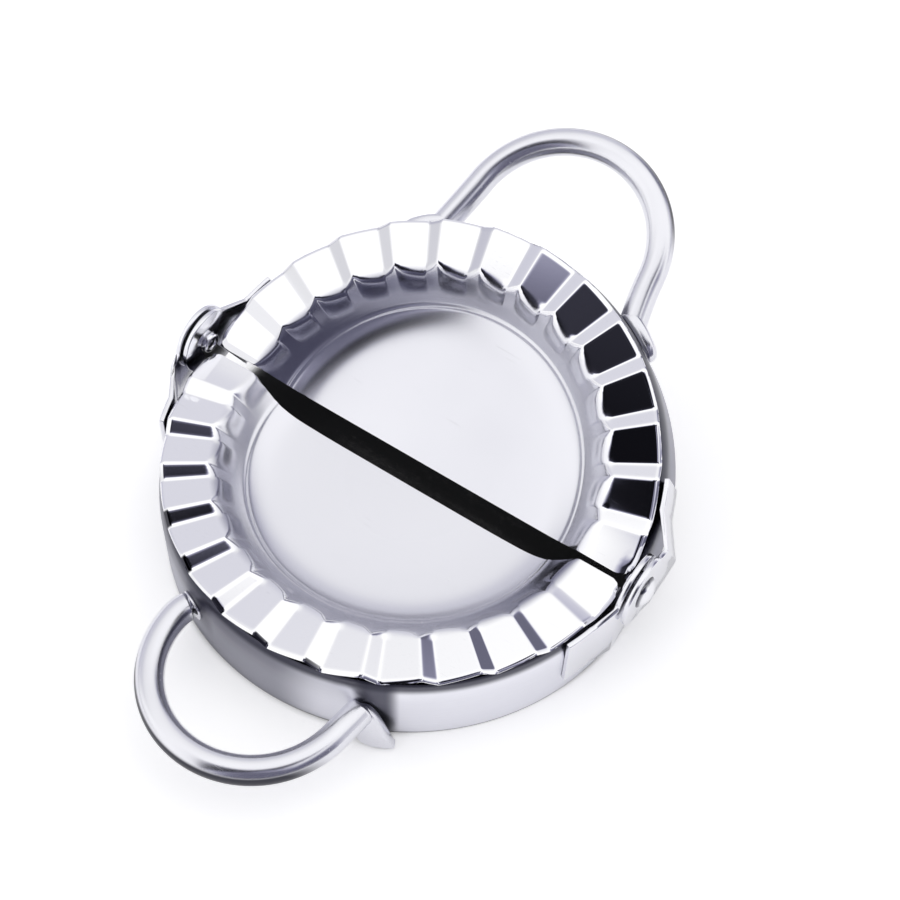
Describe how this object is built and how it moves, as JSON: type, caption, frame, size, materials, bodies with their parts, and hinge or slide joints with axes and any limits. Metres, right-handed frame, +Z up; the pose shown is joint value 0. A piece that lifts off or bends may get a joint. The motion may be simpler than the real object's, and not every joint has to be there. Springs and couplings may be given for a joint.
{
  "type": "empanada press",
  "caption": "Hinged stainless-steel press with a pleated half-round mould, cutting band and loop handle on each side, for shaping and sealing filled dough.",
  "frame": {"origin": "middle of the bounding box in plan, on the table: the front half stands on its cutting band at z = 0", "axes": "+X along the hinge axis, to the right seen from the front handle; +Y from the front handle to the back handle; +Z up"},
  "size_m": [0.1058, 0.1424, 0.0463],
  "materials": {
    "pressed_steel": "polished pleated rim and wall, fine satin bowl floor",
    "band_steel": "satin, brushed along the band",
    "rod_steel": "bright polished rod",
    "leaf_steel": "semi-bright stamped plate",
    "rivet_steel": "bright, with a rolled end"
  },
  "bodies": {
    "front_half": {"front_mould": "pressed_steel", "front_band": "band_steel", "front_handle": "rod_steel", "front_left_leaf": "leaf_steel", "front_right_leaf": "leaf_steel", "left_rivet": "rivet_steel", "right_rivet": "rivet_steel", "left_washer": "rivet_steel", "right_washer": "rivet_steel"},
    "back_half": {"back_mould": "pressed_steel", "back_band": "band_steel", "back_handle": "rod_steel", "back_left_leaf": "leaf_steel", "back_right_leaf": "leaf_steel"}
  },
  "joints": [
    {"name": "fold_hinge", "type": "hinge", "parent": "front_half", "child": "back_half", "pos_m": [0, -0.00002, 0.01865], "axis": [1, 0, 0], "range_deg": [-27.5, 152.5]}
  ]
}
